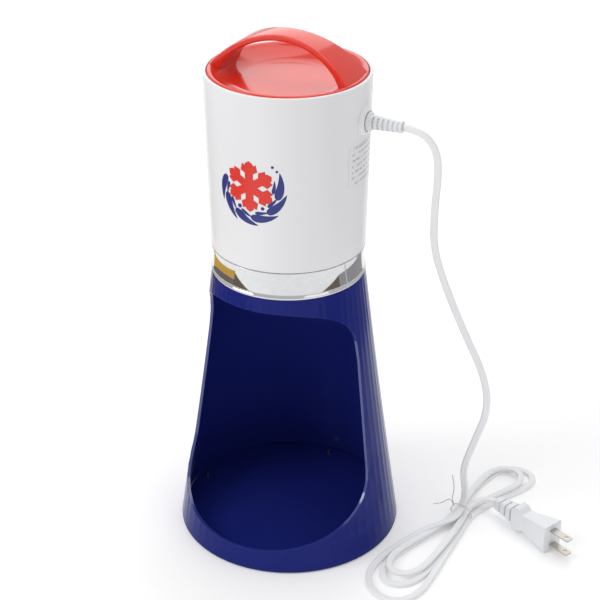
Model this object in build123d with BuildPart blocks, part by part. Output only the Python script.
"""Electric ice shaver: a conical stand with an open bowl bay, a twist-off ice case with the blade,
a motor unit over it, and a push lid with an arched handle. The mains cord hangs from the motor unit and
lies beside the stand, folded and tied. Millimetres, +Z up, origin on the table under the stand's centre,
front towards -Y, cord side towards +X."""

from build123d import *
from math import cos, pi, radians, sin, tan
import os

os.makedirs("parts", exist_ok=True)

# Overall sizes
base_radius = 85.0
stand_top_radius = 56.0
stand_waist = 0.9  # how far the stand's side is pulled in at half height
stand_bottom = 1.0
stand_height = 216.5
stand_wall = 2.6
ring_height = 20.4
joint_gap = 0.3  # clearance between the stand, the case ring and the motor unit
housing_bottom = stand_height + ring_height + 2 * joint_gap
housing_top = 367.0
housing_bottom_radius = 55.7
housing_top_radius = 58.7
housing_wall = 2.4
rim_height = 366.0
handle_top = 393.0
spout_radius = 40.0  # hole in the stand's top that the ice falls through

# Bowl bay: the opening in the front of the stand, as a half angle that changes with height
bay_low = 16.5
bay_low_corner = 66.5
bay_high_corner = 155.0
bay_high = 205.5
bay_low_angle = 78.0
bay_high_angle = 81.0
corner_sharpness = 0.72  # power of the upper corners; 1 would be an ellipse

# Motor unit
deck_low = 293.0
deck_high = 296.0
deck_radius = 54.0
gear_module = 1.0
pinion_teeth = 12
wheel_teeth = 36
gear_distance = 24.3  # 24 plus a little backlash
motor_radius = 21.0
motor_low = 315.1
motor_high = 346.0
gland_height = 339.0
relief_tip = 86.0
lid_travel = 4.0
switch_x = -40.0
spring_y = 40.0
spring_seat = 328.0
spring_top = 356.3

# Cord
cord_diameter = 4.4


def save(part, label):
    """Label a finished piece and write its file."""
    part.label = label
    export_step(part, f"parts/{label}.step")


def stand_radius(z):
    """Outside radius of the stand at a height."""
    t = z / stand_height
    return base_radius + (stand_top_radius - base_radius) * t - 4 * stand_waist * t * (1 - t)


def housing_radius(z):
    """Outside radius of the motor housing at a height."""
    t = (z - housing_bottom) / (housing_top - housing_bottom)
    return housing_bottom_radius + (housing_top_radius - housing_bottom_radius) * t


# ---------------------------------------------------------------- stand

inner_top = stand_height - 3.0  # underside of the stand's top
bay_levels = []
for step in range(9, 0, -1):
    turn = radians(9.6 * step)
    low_z = bay_low_corner - (bay_low_corner - bay_low) * sin(turn)
    bay_levels.append((low_z, bay_low_angle * cos(turn)))
bay_levels.append((bay_low_corner, bay_low_angle))
bay_levels.append(((bay_low_corner + bay_high_corner) / 2, (bay_low_angle + bay_high_angle) / 2))
for step in range(0, 9):
    turn = radians(10.6 * step)
    high_z = bay_high_corner + (bay_high - bay_high_corner) * sin(turn) ** corner_sharpness
    bay_levels.append((high_z, bay_high_angle * cos(turn) ** corner_sharpness))

bay_near = 25.0
bay_far = 100.0
bay_front = 120.0
with BuildPart() as bay_cutter:
    for level, half_angle in bay_levels:
        side_x = sin(radians(half_angle))
        side_y = cos(radians(half_angle))
        with BuildSketch(Plane.XY.offset(level)):
            with BuildLine():
                Polyline(
                    (bay_near * side_x, -bay_near * side_y),
                    (bay_far * side_x, -bay_far * side_y),
                    (bay_far * side_x, -bay_front),
                    (-bay_far * side_x, -bay_front),
                    (-bay_far * side_x, -bay_far * side_y),
                    (-bay_near * side_x, -bay_near * side_y),
                    close=True,
                )
            make_face()
    loft()

with BuildPart() as stand_shell:
    with BuildSketch(Plane.XZ):
        with BuildLine():
            Spline(
                (base_radius, stand_bottom),
                (stand_radius(stand_height / 2), stand_height / 2),
                (stand_top_radius, stand_height - 1),
            )
            Polyline(
                (stand_top_radius, stand_height - 1),
                (stand_top_radius - 1, stand_height),
                (spout_radius, stand_height),
                (spout_radius, inner_top),
                (stand_radius(inner_top) - stand_wall, inner_top),
            )
            Spline(
                (stand_radius(inner_top) - stand_wall, inner_top),
                (stand_radius(stand_height / 2) - stand_wall, stand_height / 2),
                (base_radius - stand_wall, stand_bottom),
            )
            Line((base_radius - stand_wall, stand_bottom), (base_radius, stand_bottom))
        make_face()
    revolve(axis=Axis.Z)
    add(bay_cutter.part, mode=Mode.SUBTRACT)
save(stand_shell.part, "stand_shell")

plate_low = 4.0
plate_high = 7.5
foot_positions = 66.0
screw_positions = 74.0
with BuildPart() as base_plate:
    with BuildSketch(Plane.XY.offset(plate_low)):
        Circle(stand_radius(plate_high) - stand_wall - 0.4)
    extrude(amount=plate_high - plate_low)
    with Locations((0, 0, plate_high)):
        with PolarLocations(screw_positions, 4):
            Hole(radius=1.7)
    fillet(base_plate.edges().filter_by(GeomType.CIRCLE).group_by(Axis.Z)[-1].sort_by(SortBy.LENGTH)[-1], 1.0)
save(base_plate.part, "base_plate")

with BuildPart() as rubber_feet:
    with BuildSketch(Plane.XY):
        with PolarLocations(foot_positions, 4, start_angle=45):
            Circle(8)
    extrude(amount=plate_low)
    chamfer(rubber_feet.edges().group_by(Axis.Z)[0], 0.6)
save(rubber_feet.part, "rubber_feet")

with BuildPart() as base_screws:
    with BuildSketch(Plane.XY.offset(plate_low - 1.8)):
        with PolarLocations(screw_positions, 4):
            Circle(3.0)
    extrude(amount=1.8)
    with BuildSketch(Plane.XY.offset(plate_low)):
        with PolarLocations(screw_positions, 4):
            Circle(1.5)
    extrude(amount=plate_high - plate_low + 2)
save(base_screws.part, "base_screws")

# ---------------------------------------------------------------- ice case, twists off the motor unit

case_floor = 231.0
case_floor_top = 235.0
case_rim = 288.0
case_inner = 46.5
case_outer = 48.4
ring_low = stand_height + joint_gap
ring_high = ring_low + ring_height
ring_inner = 53.0
lug_low = 246.5
lug_high = 249.5
lug_count = 3

with BuildPart() as case_ring:
    with BuildSketch(Plane.XZ):
        with BuildLine():
            Polyline(
                (49, ring_low),
                (56.1, ring_low),
                (56.4, ring_low + 0.4),
                (56.4, ring_low + 1.4),
                (55.6, ring_low + 2.0),
            )
            Spline(
                (55.6, ring_low + 2.0),
                (55.3, ring_low + ring_height / 2),
                (55.7, ring_high),
            )
            Polyline(
                (55.7, ring_high),
                (ring_inner, ring_high),
                (ring_inner, ring_low + 2),
                (49, ring_low + 2),
                (49, ring_low),
            )
        make_face()
    revolve(axis=Axis.Z)
save(case_ring.part, "case_ring")



def lug_outline(inner_radius, outer_radius, start, size):
    """Two arcs about the Z axis joined by straight ends; start and size are in degrees."""
    inner_arc = CenterArc((0, 0), inner_radius, start, size)
    outer_arc = CenterArc((0, 0), outer_radius, start, size)
    Line(inner_arc @ 0, outer_arc @ 0)
    Line(inner_arc @ 1, outer_arc @ 1)


slot_start = 5.0
slot_end = 34.0
with BuildPart() as ice_case:
    with BuildSketch(Plane.XZ):
        with BuildLine():
            Polyline(
                (0, case_floor),
                (37.5, case_floor),
                (37.5, 208),
                (39.4, 208),
                (39.4, case_floor),
                (51.2, case_floor),
                (51.2, ring_low + 2.1),
                (ring_inner - 0.1, ring_low + 2.1),
                (ring_inner - 0.1, case_floor_top),
                (case_outer, case_floor_top),
                (case_outer, case_rim),
                (case_inner, case_rim),
                (case_inner, case_floor_top),
                (0, case_floor_top),
                close=True,
            )
        make_face()
    revolve(axis=Axis.Z)
    # Bayonet lugs round the outside
    with BuildSketch(Plane.XY.offset(lug_low)):
        for lug in range(lug_count):
            with BuildLine():
                lug_outline(case_outer - 0.5, 52.4, 360 / lug_count * lug - 12, 24)
            make_face()
    extrude(amount=lug_high - lug_low)
    # Ribs inside that keep the ice from turning with the presser
    with BuildSketch(Plane.XY.offset(case_floor_top)):
        with PolarLocations(case_inner - 0.6, 6, start_angle=30):
            Rectangle(1.6, 2.4)
    extrude(amount=38)
    # Slot for the blade and two pilot holes for its screws
    with BuildSketch(Plane.XY.offset(case_floor)):
        with Locations(((slot_start + slot_end) / 2, 0.75)):
            Rectangle(slot_end - slot_start, 6.5)
        with Locations((10, -9), (29, -9)):
            Circle(1.3)
    extrude(amount=case_floor_top - case_floor, mode=Mode.SUBTRACT)
save(ice_case.part, "ice_case")

with BuildPart() as blade:
    with BuildSketch(Plane.YZ.offset(slot_start + 0.5)):
        with BuildLine():
            Polyline(
                (-14, 229.9),
                (-1.2, 229.9),
                (2.2, 235.6),
                (0.8, 235.2),
                (-1.8, 230.9),
                (-14, 230.9),
                close=True,
            )
        make_face()
    extrude(amount=slot_end - slot_start - 1)
    with BuildSketch(Plane.XY.offset(229)):
        with Locations((10, -9), (29, -9)):
            Circle(1.6)
    extrude(amount=3, mode=Mode.SUBTRACT)
save(blade.part, "blade")

with BuildPart() as blade_screws:
    with BuildSketch(Plane.XY.offset(228.2)):
        with Locations((10, -9), (29, -9)):
            Circle(2.6)
    extrude(amount=1.7)
    with BuildSketch(Plane.XY.offset(229.9)):
        with Locations((10, -9), (29, -9)):
            Circle(1.2)
    extrude(amount=4.6)
save(blade_screws.part, "blade_screws")

# ---------------------------------------------------------------- motor unit

post_radius = 50.4  # where the deck is screwed to the housing
boss_top = 312.0
with BuildPart() as motor_housing:
    with BuildSketch(Plane.XZ):
        with BuildLine():
            Polyline(
                (housing_bottom_radius - housing_wall, housing_bottom),
                (housing_bottom_radius - 0.8, housing_bottom),
                (housing_bottom_radius, housing_bottom + 0.8),
                (housing_radius(housing_top - 2), housing_top - 2),
            )
            ThreePointArc(
                (housing_radius(housing_top - 2), housing_top - 2),
                (housing_top_radius - housing_wall / 2, housing_top),
                (housing_radius(housing_top - 2) - housing_wall, housing_top - 2),
            )
            Line(
                (housing_radius(housing_top - 2) - housing_wall, housing_top - 2),
                (housing_bottom_radius - housing_wall, housing_bottom),
            )
        make_face()
    revolve(axis=Axis.Z)
    # Screw bosses inside the wall, over the deck
    with BuildSketch(Plane.XY.offset(deck_high + 0.1)):
        with PolarLocations(post_radius + 0.9, 4, start_angle=45):
            Circle(4.4)
    extrude(amount=boss_top - deck_high)
    # Bayonet lugs that carry the ice case
    with BuildSketch(Plane.XY.offset(242.5)):
        for lug in range(lug_count):
            with BuildLine():
                CenterArc((0, 0), 54.4, 120 * lug - 10, 20)
                CenterArc((0, 0), 49.6, 120 * lug - 10, 20)
                Line(
                    (54.4 * cos(radians(120 * lug - 10)), 54.4 * sin(radians(120 * lug - 10))),
                    (49.6 * cos(radians(120 * lug - 10)), 49.6 * sin(radians(120 * lug - 10))),
                )
                Line(
                    (54.4 * cos(radians(120 * lug + 10)), 54.4 * sin(radians(120 * lug + 10))),
                    (49.6 * cos(radians(120 * lug + 10)), 49.6 * sin(radians(120 * lug + 10))),
                )
            make_face()
    extrude(amount=3.5)
    # Round boss about the cord's way out
    with BuildSketch(Plane.YZ.offset(55)):
        with Locations((0, gland_height)):
            Circle(9.5)
    extrude(amount=6.0)
    with BuildSketch(Plane.YZ.offset(40)):
        with Locations((0, gland_height)):
            Circle(10.5)
    extrude(amount=15.5, mode=Mode.SUBTRACT)
    with BuildSketch(Plane.YZ.offset(50)):
        with Locations((0, gland_height)):
            Circle(5.2)
    extrude(amount=15, mode=Mode.SUBTRACT)
    with BuildSketch(Plane.XY.offset(deck_high)):
        with PolarLocations(post_radius, 4, start_angle=45):
            Circle(1.5)
    extrude(amount=12, mode=Mode.SUBTRACT)
save(motor_housing.part, "motor_housing")

# Ribbed strain relief, level, along +X
relief_pitch = 3.6
with BuildPart() as strain_relief:
    with BuildSketch(Plane.XZ):
        with BuildLine():
            Polyline(
                (52.6, gland_height),
                (52.6, gland_height + 6.3),
                (54.6, gland_height + 6.3),
                (54.6, gland_height + 5.0),
                (61.2, gland_height + 5.0),
                (61.2, gland_height + 6.4),
                (63.2, gland_height + 6.4),
                (63.2, gland_height + 5.2),
                (relief_tip - 2.5, gland_height + 3.9),
                (relief_tip - 2.5, gland_height + 4.3),
                (relief_tip, gland_height + 4.1),
                (relief_tip, gland_height),
                close=True,
            )
        make_face()
    revolve(axis=Axis((0, 0, gland_height), (1, 0, 0)))
    for rib in range(6):
        with BuildSketch(Plane.YZ.offset(65.0 + relief_pitch * rib)):
            with Locations((0, gland_height)):
                Circle(7)
                Circle(3.3, mode=Mode.SUBTRACT)
                Rectangle(3.0, 20, mode=Mode.SUBTRACT)
        extrude(amount=1.4, mode=Mode.SUBTRACT)
save(strain_relief.part, "strain_relief")

# Blank rating label on the cord side
label_low = 294.0
label_high = 324.0
label_half_angle = 18.0
with BuildPart() as rating_label:
    with BuildSketch(Plane.XZ):
        with BuildLine():
            Polyline(
                (housing_radius(label_low) + 0.02, label_low),
                (housing_radius(label_low) + 0.22, label_low),
                (housing_radius(label_high) + 0.22, label_high),
                (housing_radius(label_high) + 0.02, label_high),
                close=True,
            )
        make_face()
    revolve(axis=Axis.Z, revolution_arc=2 * label_half_angle)
rating_label.part.orientation = (0, 0, -label_half_angle)
save(rating_label.part, "rating_label")

# Deck that closes the motor unit from below, with two posts for the lid's springs
with BuildPart() as motor_deck:
    with BuildSketch(Plane.XY.offset(deck_low)):
        Circle(deck_radius)
    extrude(amount=deck_high - deck_low)
    with BuildSketch(Plane.XY.offset(deck_high)):
        with Locations((0, spring_y), (0, -spring_y)):
            Circle(6.2)
    extrude(amount=spring_seat - deck_high)
    with BuildSketch(Plane.XY.offset(spring_seat)):
        with Locations((0, spring_y), (0, -spring_y)):
            Circle(3.4)
    extrude(amount=8)
    with BuildSketch(Plane.XY.offset(deck_low)):
        Circle(6.05)
        with PolarLocations(post_radius, 4, start_angle=45):
            Circle(1.7)
        with Locations((gear_distance, 0)):
            Circle(2.0)
        with Locations((-26.5, 0), (gear_distance, 25.5), (gear_distance, -25.5)):
            Circle(1.25)
    extrude(amount=deck_high - deck_low, mode=Mode.SUBTRACT)
save(motor_deck.part, "motor_deck")

with BuildPart() as deck_screws:
    with BuildSketch(Plane.XY.offset(deck_low - 2.2)):
        with PolarLocations(post_radius, 4, start_angle=45):
            Circle(2.9)
    extrude(amount=2.2)
    with BuildSketch(Plane.XY.offset(deck_low)):
        with PolarLocations(post_radius, 4, start_angle=45):
            Circle(1.4)
    extrude(amount=13)
save(deck_screws.part, "deck_screws")

with BuildPart() as shaft_bushing:
    with BuildSketch(Plane.XY.offset(deck_low - 1.5)):
        Circle(8)
        Circle(4.05, mode=Mode.SUBTRACT)
    extrude(amount=1.5)
    with BuildSketch(Plane.XY.offset(deck_low)):
        Circle(6.0)
        Circle(4.05, mode=Mode.SUBTRACT)
    extrude(amount=4.6)
save(shaft_bushing.part, "shaft_bushing")

cover_top = 315.0
cover_wall = 2.0
with BuildPart() as gearbox_cover:
    with BuildSketch(Plane.XY.offset(deck_high + 0.05)):
        with BuildLine():
            CenterArc((0, 0), 22.5, 90, 180)
            CenterArc((gear_distance, 0), 22.5, -90, 180)
            Line((0, 22.5), (gear_distance, 22.5))
            Line((0, -22.5), (gear_distance, -22.5))
        make_face()
    extrude(amount=cover_top - deck_high - 0.05)
    fillet(gearbox_cover.edges().group_by(Axis.Z)[-1], 1.0)
    with BuildSketch(Plane.XY.offset(deck_high + 0.05)):
        with Locations((-26.5, 0), (gear_distance, 25.5), (gear_distance, -25.5)):
            Circle(4.6)
    extrude(amount=3)
    with BuildSketch(Plane.XY.offset(deck_high)):
        with BuildLine():
            CenterArc((0, 0), 20.5, 90, 180)
            CenterArc((gear_distance, 0), 20.5, -90, 180)
            Line((0, 20.5), (gear_distance, 20.5))
            Line((0, -20.5), (gear_distance, -20.5))
        make_face()
    extrude(amount=cover_top - cover_wall - deck_high, mode=Mode.SUBTRACT)
    with BuildSketch(Plane.XY.offset(deck_high)):
        Circle(5.05)
        with Locations((gear_distance, 0)):
            Circle(2.0)
        with Locations((-26.5, 0), (gear_distance, 25.5), (gear_distance, -25.5)):
            Circle(1.4)
    extrude(amount=30, mode=Mode.SUBTRACT)
save(gearbox_cover.part, "gearbox_cover")

with BuildPart() as cover_screws:
    with BuildSketch(Plane.XY.offset(deck_high + 3.1)):
        with Locations((-26.5, 0), (gear_distance, 25.5), (gear_distance, -25.5)):
            Circle(2.6)
    extrude(amount=1.8)
    with BuildSketch(Plane.XY.offset(deck_low + 0.2)):
        with Locations((-26.5, 0), (gear_distance, 25.5), (gear_distance, -25.5)):
            Circle(1.2)
    extrude(amount=deck_high - deck_low + 3.0)
save(cover_screws.part, "cover_screws")

with BuildPart() as idler_axle:
    with BuildSketch(Plane.XY.offset(deck_low + 0.1)):
        with Locations((gear_distance, 0)):
            Circle(1.98)
    extrude(amount=cover_top - deck_low - 0.4)
save(idler_axle.part, "idler_axle")

with BuildPart() as motor_can:
    with BuildSketch(Plane.XY.offset(motor_low)):
        Circle(motor_radius)
    extrude(amount=motor_high - motor_low)
    with BuildSketch(Plane.XY.offset(motor_low - 2.5)):
        Circle(5.0)
    extrude(amount=2.5)
    with BuildSketch(Plane.XY.offset(motor_low + 2)):
        Circle(motor_radius - 1.5)
    extrude(amount=motor_high - motor_low, mode=Mode.SUBTRACT)
    with BuildSketch(Plane.XY.offset(motor_low - 3)):
        Circle(1.66)
    extrude(amount=8, mode=Mode.SUBTRACT)
save(motor_can.part, "motor_can")

with BuildPart() as motor_magnets:
    with BuildSketch(Plane.XY.offset(motor_low + 4)):
        Circle(motor_radius - 1.7)
        Circle(16.2, mode=Mode.SUBTRACT)
        Rectangle(50, 9, mode=Mode.SUBTRACT)
    extrude(amount=24)
save(motor_magnets.part, "motor_magnets")

with BuildPart() as motor_end_cap:
    with BuildSketch(Plane.XY.offset(motor_high + 0.05)):
        Circle(motor_radius)
    extrude(amount=2.5)
    with BuildSketch(Plane.XY.offset(motor_high + 2.55)):
        Circle(5)
    extrude(amount=1.8)
    with BuildSketch(Plane.XY.offset(motor_high)):
        Circle(1.66)
    extrude(amount=3.4, mode=Mode.SUBTRACT)
save(motor_end_cap.part, "motor_end_cap")

# Rectifier board on two standoffs over the gearbox
with BuildPart() as rectifier_board:
    with BuildSketch(Plane.XY.offset(cover_top + 3)):
        with Locations((34, 0)):
            Rectangle(18, 30)
    extrude(amount=1.6)
    with BuildSketch(Plane.XY.offset(cover_top + 0.05)):
        with Locations((34, 11), (34, -11)):
            Circle(2.0)
    extrude(amount=3)
    with BuildSketch(Plane.XY.offset(cover_top + 4.6)):
        with Locations((30, -6), (38, -6), (30, -1), (38, -1)):
            Rectangle(6, 2.6)
    extrude(amount=2.6)
    with BuildSketch(Plane.XY.offset(cover_top + 4.6)):
        with Locations((34, 7)):
            Circle(4)
    extrude(amount=9)
save(rectifier_board.part, "rectifier_board")

switch_low = 322.0
switch_high = 338.0
plunger_radius = 3.0
with BuildPart() as switch_bracket:
    with BuildSketch(Plane.XY.offset(deck_high + 0.05)):
        with Locations((-38.5, 0)):
            Rectangle(14, 16)
    extrude(amount=1.5)
    with BuildSketch(Plane.XY.offset(deck_high + 1.0)):
        with Locations((-32.25, 0)):
            Rectangle(1.5, 16)
    extrude(amount=switch_high - deck_high - 1)
save(switch_bracket.part, "switch_bracket")

with BuildPart() as push_switch:
    with BuildSketch(Plane.XY.offset(switch_low)):
        with Locations((-39.6, 0)):
            Rectangle(13, 15)
    extrude(amount=switch_high - switch_low)
    fillet(push_switch.edges().filter_by(Axis.Z), 0.8)
    with BuildSketch(Plane.XY.offset(switch_low + 2)):
        with Locations((switch_x, 0)):
            Circle(plunger_radius + 0.1)
    extrude(amount=20, mode=Mode.SUBTRACT)
    with BuildSketch(Plane.XY.offset(switch_low - 6)):
        with Locations((-42, 4), (-42, -4)):
            Rectangle(0.8, 4)
    extrude(amount=6)
save(push_switch.part, "push_switch")

with BuildPart() as switch_plunger:
    with BuildSketch(Plane.XY.offset(switch_low + 7)):
        with Locations((switch_x, 0)):
            Circle(plunger_radius)
    extrude(amount=16)
    fillet(switch_plunger.edges().group_by(Axis.Z)[-1], 0.8)
save(switch_plunger.part, "switch_plunger")

# Lid springs, one round each post
spring_wire = 0.9
spring_radius = 4.7
spring_turns = 6
spring_length = spring_top - spring_seat - spring_wire - 0.2
springs = []
for side in (1, -1):
    centre = (0, side * spring_y, spring_seat + spring_wire / 2 + 0.1)
    with BuildPart() as spring:
        with BuildLine(Plane(centre)):
            coil = Helix(spring_length / spring_turns, spring_length, spring_radius)
        with BuildSketch(Plane(origin=coil @ 0, z_dir=coil % 0)):
            Circle(spring_wire / 2)
        sweep(is_frenet=True)
    springs.append(spring.part)
lid_springs = Compound(children=springs)
save(lid_springs, "lid_springs")

# ---------------------------------------------------------------- push lid with its arched handle

dish_floor = 359.0
lid_under = 356.5
arch_foot = 54.4
arch_inner_foot = 35.0
arch_inner_top = handle_top - 4.2
with BuildPart() as arch:
    with BuildSketch(Plane.XZ):
        with BuildLine():
            ThreePointArc((-arch_foot, rim_height - 1.5), (0, handle_top), (arch_foot, rim_height - 1.5))
            Polyline(
                (arch_foot, rim_height - 1.5),
                (arch_foot, lid_under + 1),
                (-arch_foot, lid_under + 1),
                (-arch_foot, rim_height - 1.5),
            )
        make_face()
    extrude(amount=30, both=True)
    with BuildSketch(Plane.XZ):
        with Locations((0, 362.5)):
            Ellipse(arch_inner_foot, arch_inner_top - 362.5)
    extrude(amount=40, both=True, mode=Mode.SUBTRACT)
    # The band widens towards its feet
    with BuildSketch(Plane.XY.offset(lid_under)):
        with BuildLine():
            ThreePointArc((-58, -18), (0, -9.5), (58, -18))
            Line((58, -18), (58, 18))
            ThreePointArc((58, 18), (0, 9.5), (-58, 18))
            Line((-58, 18), (-58, -18))
        make_face()
    extrude(amount=50, mode=Mode.INTERSECT)
    with BuildSketch(Plane.XY.offset(lid_under)):
        Circle(55.2)
    extrude(amount=50, mode=Mode.INTERSECT)
    long_edges = arch.edges().filter_by(lambda e: e.length > 60)
    fillet(long_edges, 1.6)

with BuildPart() as push_lid:
    with BuildSketch(Plane.XZ):
        with BuildLine():
            Polyline((0, lid_under), (50, lid_under), (53.2, 354), (53.2, 350), (55.2, 350), (55.6, 364.6))
            ThreePointArc((55.6, 364.6), (55.1, 365.6), (54.2, rim_height))
            Line((54.2, rim_height), (51.8, rim_height))
            Spline((51.8, rim_height), (46, 361.4), (34, dish_floor), tangents=((-0.6, -1), (-1, 0)))
            Polyline((34, dish_floor), (0, dish_floor), (0, lid_under))
        make_face()
    revolve(axis=Axis.Z)
    add(arch.part)
save(push_lid.part, "push_lid")

with BuildPart() as lid_stem:
    with BuildSketch(Plane.XY.offset(lid_under - 2.5)):
        with Locations((switch_x, 0)):
            Circle(6)
    extrude(amount=2.5)
    with BuildSketch(Plane.XY.offset(345.1)):
        with Locations((switch_x, 0)):
            Circle(3.4)
    extrude(amount=lid_under - 2.5 - 345.1)
save(lid_stem.part, "lid_stem")

# ---------------------------------------------------------------- gear train


def gear_outline(teeth, first_tooth):
    """Points of a straight-flanked gear, with its first tooth's middle at an angle in degrees."""
    pitch = gear_module * teeth / 2
    root = pitch - 1.25 * gear_module
    tip = pitch + 0.85 * gear_module
    points = []
    for tooth in range(teeth):
        middle = radians(first_tooth) + 2 * pi * tooth / teeth
        for radius, half_width, side in ((root, 0.95, -1), (tip, 0.26, -1), (tip, 0.26, 1), (root, 0.95, 1)):
            angle = middle + side * half_width / radius
            points.append((radius * cos(angle), radius * sin(angle)))
    return points


pinion_half_tooth = 180 / pinion_teeth
output_low = 298.5
output_high = 304.5
with BuildPart() as output_gear:
    with BuildSketch(Plane.XY.offset(output_low)):
        with BuildLine():
            Polyline(*gear_outline(wheel_teeth, 0), close=True)
        make_face()
        Circle(4.0, mode=Mode.SUBTRACT)
        with PolarLocations(10.5, 5):
            Circle(2.4, mode=Mode.SUBTRACT)
    extrude(amount=output_high - output_low)
save(output_gear.part, "output_gear")

with BuildPart() as drive_shaft:
    with BuildSketch(Plane.XY.offset(270)):
        Circle(4.0)
    extrude(amount=35)
    with BuildSketch(Plane.XY.offset(270)):
        Circle(1.6)
    extrude(amount=10, mode=Mode.SUBTRACT)
save(drive_shaft.part, "drive_shaft")

# Presser: a spiked disc that turns the ice over the blade
plate_radius = 41.0
with BuildPart() as ice_presser:
    with BuildSketch(Plane.XY.offset(276)):
        Circle(plate_radius)
    extrude(amount=3)
    with BuildSketch(Plane.XY.offset(270.1)):
        Circle(8)
    extrude(amount=12.4)
    with Locations((0, 0, 276.2)):
        with PolarLocations(30, 6):
            Cone(0.7, 2.6, 8, align=(Align.CENTER, Align.CENTER, Align.MAX))
    with BuildSketch(Plane.XY.offset(278.8)):
        with PolarLocations(21.5, 6, start_angle=30):
            Rectangle(29, 1.6)
    extrude(amount=2.5)
    with BuildSketch(Plane.XY.offset(269)):
        Circle(4.0)
    extrude(amount=16, mode=Mode.SUBTRACT)
save(ice_presser.part, "ice_presser")

with BuildPart() as presser_screw:
    with BuildSketch(Plane.XY.offset(266.9)):
        Circle(6.5)
    extrude(amount=3)
    fillet(presser_screw.edges().group_by(Axis.Z)[0], 1.2)
    with BuildSketch(Plane.XY.offset(269.9)):
        Circle(1.5)
    extrude(amount=8)
save(presser_screw.part, "presser_screw")

with BuildPart() as idler_gear:
    with BuildSketch(Plane.XY.offset(298)):
        with BuildLine():
            Polyline(*gear_outline(pinion_teeth, 180 + pinion_half_tooth), close=True)
        make_face()
    extrude(amount=7.4)
    with BuildSketch(Plane.XY.offset(305.3)):
        with BuildLine():
            Polyline(*gear_outline(wheel_teeth, 180), close=True)
        make_face()
    extrude(amount=4)
    with BuildSketch(Plane.XY.offset(297)):
        Circle(2.04)
    extrude(amount=20, mode=Mode.SUBTRACT)
idler_part = Pos(gear_distance, 0, 0) * idler_gear.part
save(idler_part, "idler_gear")

rotor_turn = pinion_half_tooth  # a gap of the pinion faces the wheel's tooth
with BuildPart() as motor_pinion:
    with BuildSketch(Plane.XY.offset(305.8)):
        with BuildLine():
            Polyline(*gear_outline(pinion_teeth, rotor_turn), close=True)
        make_face()
    extrude(amount=5.2)
    with BuildSketch(Plane.XY.offset(311.0)):
        Circle(1.6)
    extrude(amount=37)
save(motor_pinion.part, "motor_pinion")

with BuildPart() as motor_rotor:
    with BuildSketch(Plane.XY.offset(320)):
        Circle(15.4)
        Circle(1.6, mode=Mode.SUBTRACT)
        with PolarLocations(11, 6):
            Rectangle(9, 3, mode=Mode.SUBTRACT)
    extrude(amount=21)
save(motor_rotor.part, "motor_rotor")

# ---------------------------------------------------------------- cord, hank, tie and plug

cord_route = [
    (relief_tip + 0.2, 0, gland_height),
    (94.5, 0, 338.8),
    (103, 1.5, 334.5),
    (107.5, 4.5, 327),
    (109, 8.5, 316),
    (108, 12.5, 299),
    (105.5, 15, 274),
    (105, 18, 244),
    (114, 24, 211),
    (126, 33, 174),
    (140, 43, 136),
    (144, 47, 104),
    (134, 46, 72),
    (127, 44, 44),
    (126.5, 52.5, 15.8),
]
plug_direction = Vector(0.91, -0.41, 0).normalized()
plug_across = Vector(0.41, 0.91, 0).normalized()
plug_back = Vector(151, 62, 12)
lead_route = [
    (130.8, 56.4, 9),
    (136.5, 61.6, 10.4),
    (143.8, 63.5, 11.6),
    (151, 62, 12),
]


def bend_radii(route):
    """The largest tangent arc at each corner that both of its runs allow."""
    radii = []
    for before, corner, after in zip(route, route[1:], route[2:]):
        run_in = Vector(*corner) - Vector(*before)
        run_out = Vector(*after) - Vector(*corner)
        turn = radians(run_in.get_angle(run_out))
        radii.append(0.45 * min(run_in.length, run_out.length) / tan(turn / 2))
    return radii


def cord_tube(route, label):
    """A round tube along straight runs joined by arcs."""
    radii = bend_radii(route)
    runs = [(Vector(*b) - Vector(*a)).length for a, b in zip(route, route[1:])]
    print(label, "radii", [round(radius, 1) for radius in radii], "runs", [round(run, 1) for run in runs])
    with BuildPart() as tube:
        with BuildLine():
            path = FilletPolyline(*route, radius=radii)
        with BuildSketch(Plane(origin=path @ 0, z_dir=path % 0)):
            Circle(cord_diameter / 2)
        sweep()
    section = pi * cord_diameter**2 / 4
    print(label, "volume", round(tube.part.volume), "section times length", round(section * path.length))
    return tube.part


save(cord_tube(cord_route, "power_cord"), "power_cord")
save(cord_tube(lead_route, "plug_lead"), "plug_lead")

# The folded stretch: wide loops towards the front, one loop towards the back, narrow at the tie
with BuildPart() as cord_hank:
    with BuildSketch(Plane.XY):
        with BuildLine():
            Spline(
                (121, 55),
                (111, 16),
                (93, -22),
                (92, -54),
                (110, -73),
                (130, -62),
                (137, -24),
                (135, 14),
                (136, 46),
                (146, 80),
                (166, 104),
                (162, 127),
                (138, 124),
                (126, 96),
                periodic=True,
            )
        make_face()
    extrude(amount=7)
    with BuildSketch(Plane.XY):
        with Locations((128, 48)):
            Ellipse(8, 22)
    extrude(amount=16.5)
save(cord_hank.part, "cord_hank")

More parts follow.
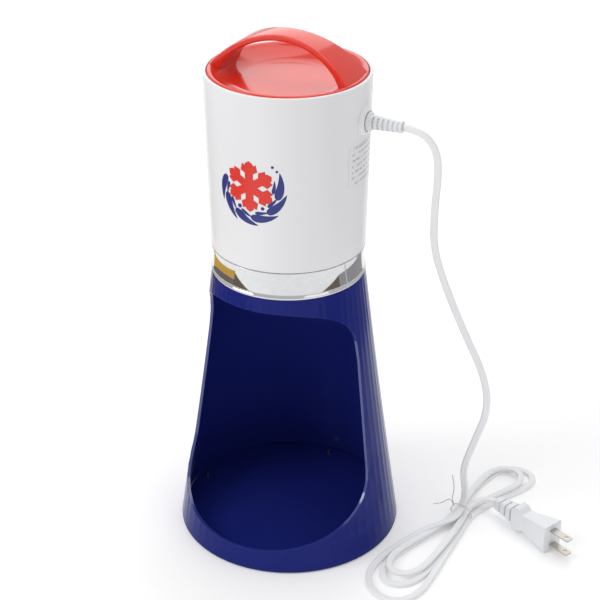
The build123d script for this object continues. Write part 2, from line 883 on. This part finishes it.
with BuildPart() as cord_tie:
    with BuildSketch(Plane(origin=(128, 46, 0), x_dir=(-0.86, 0.5, 0), z_dir=(0.5, 0.86, 0))):
        with Locations((0, 8.4)):
            RectangleRounded(20.5, 16.6, 5)
            RectangleRounded(19.0, 15.4, 4.4, mode=Mode.SUBTRACT)
    extrude(amount=0.6, both=True)
save(cord_tie.part, "cord_tie")

plug_length = 58.0
fin_thickness = 11.0
plug_plane = Plane(origin=plug_back, x_dir=plug_direction, z_dir=(0, 0, 1))
side_plane = Plane(origin=plug_back, x_dir=plug_direction, z_dir=plug_across)
with BuildPart() as plug_body:
    # Ribbed relief at the back, each rib a little larger than the one before
    for rib in range(3):
        rib_plane = Plane(
            origin=plug_back + plug_direction * (2 + 6.2 * rib), x_dir=plug_across, z_dir=plug_direction
        )
        with BuildSketch(rib_plane):
            RectangleRounded(9.4 + rib, 10 + 1.4 * rib, 2.4)
        extrude(amount=4.0)
    with BuildSketch(Plane(origin=plug_back, x_dir=plug_across, z_dir=plug_direction)):
        RectangleRounded(7.0, 7.4, 1.5)
    extrude(amount=24)
    # Finger grip: a fin above and below, then a waist
    with BuildSketch(side_plane.offset(-fin_thickness / 2)):
        with BuildLine():
            Polyline(
                (20, -7),
                (23.5, -10.6),
                (27.5, -10.2),
                (31, -7.2),
                (36, -7.2),
                (36, 7.2),
                (31, 7.2),
                (27.5, 10.2),
                (23.5, 10.6),
                (20, 7),
                close=True,
            )
        make_face()
    extrude(amount=fin_thickness)
    # Body that widens from the waist to the face with the blades
    for station, width, height in ((30, 10.4, 13.6), (plug_length, 18.6, 23.4)):
        with BuildSketch(
            Plane(origin=plug_back + plug_direction * station, x_dir=plug_across, z_dir=plug_direction)
        ):
            RectangleRounded(width, height, 2.0)
    loft(ruled=True)
save(plug_body.part, "plug_body")

blade_pitch = 12.7
with BuildPart() as plug_blades:
    for side in (1, -1):
        with BuildSketch(plug_plane.offset(side * blade_pitch / 2 - 0.75)):
            with Locations((plug_length + 8.75, 0)):
                RectangleRounded(17.5, 6.3, 1.2)
            with Locations((plug_length + 13.5, 0)):
                Circle(1.6, mode=Mode.SUBTRACT)
        extrude(amount=1.5)
save(plug_blades.part, "plug_blades")
